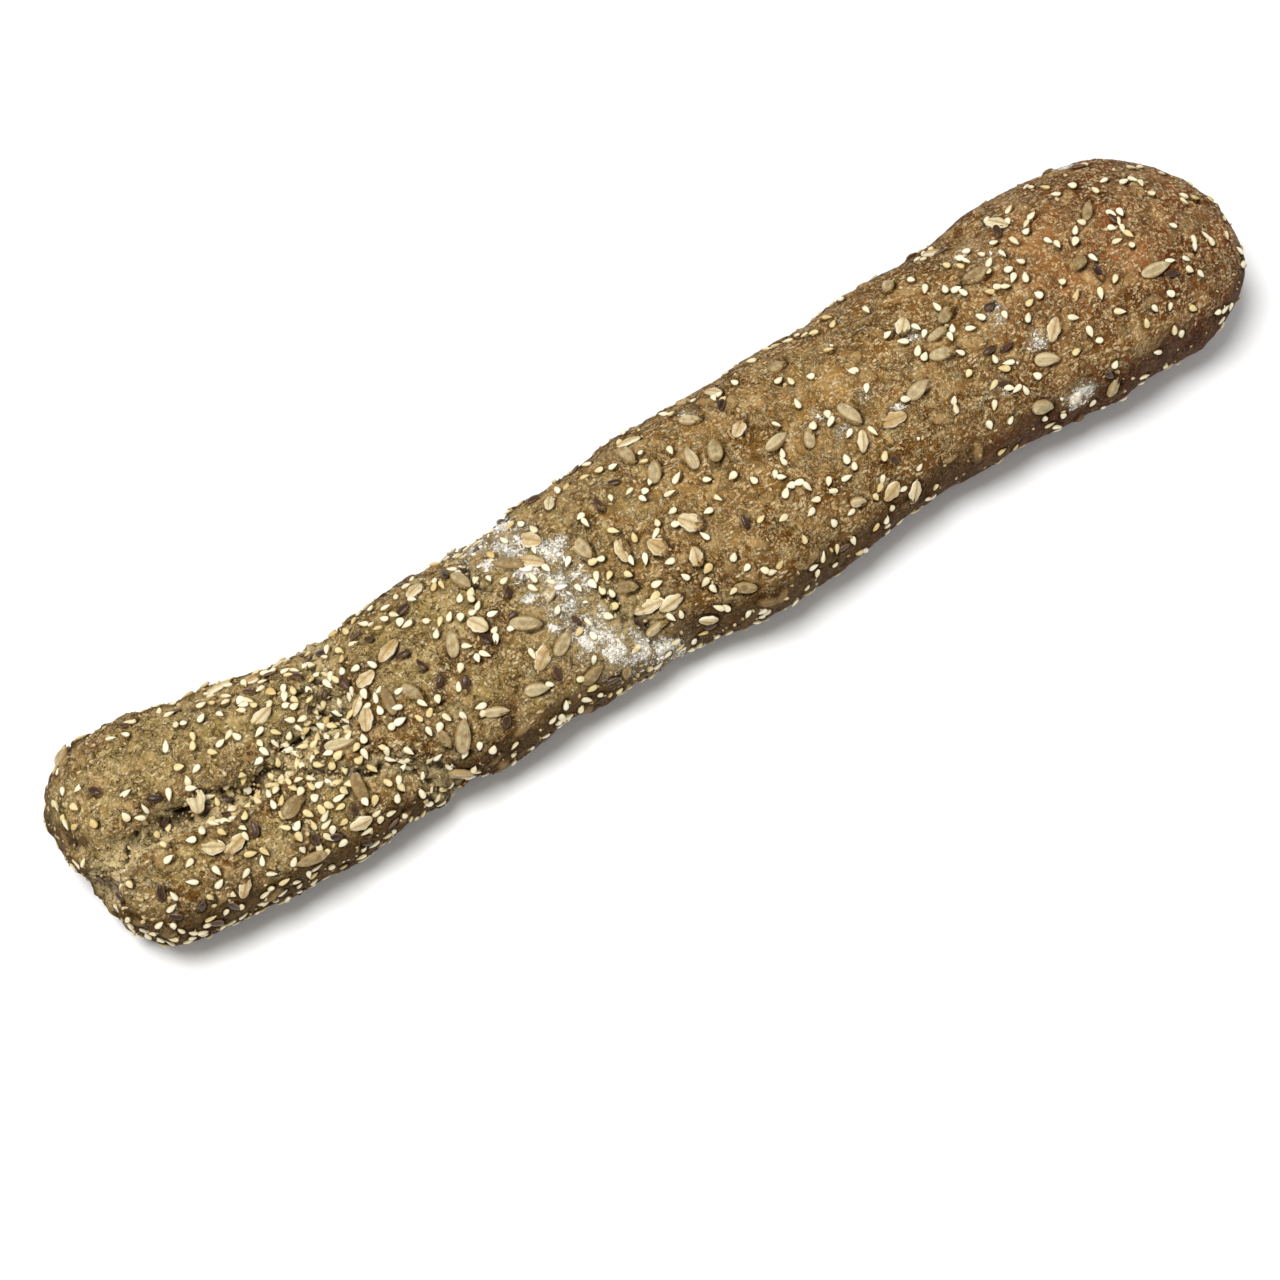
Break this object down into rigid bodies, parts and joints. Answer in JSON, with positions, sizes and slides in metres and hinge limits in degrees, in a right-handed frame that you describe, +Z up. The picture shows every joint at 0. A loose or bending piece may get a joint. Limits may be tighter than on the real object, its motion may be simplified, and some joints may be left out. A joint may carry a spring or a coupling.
{
  "type": "seeded baguette",
  "caption": "Long seeded wholegrain baguette, twisted before baking, with one blunt torn end, one smooth round end, a floured waist and a flat base.",
  "frame": {"origin": "on the surface the loaf rests on, under the middle of its bounding box", "axes": "+X along the loaf towards its smooth round end, +Y towards its back, +Z up"},
  "size_m": [0.402, 0.0766, 0.0502],
  "materials": {
    "crust": "matte",
    "sesame": "satin",
    "sunflower_kernel": "satin",
    "linseed": "gloss",
    "grain_flake": "matte"
  },
  "bodies": {
    "root": {"loaf": "crust"}
  },
  "joints": []
}
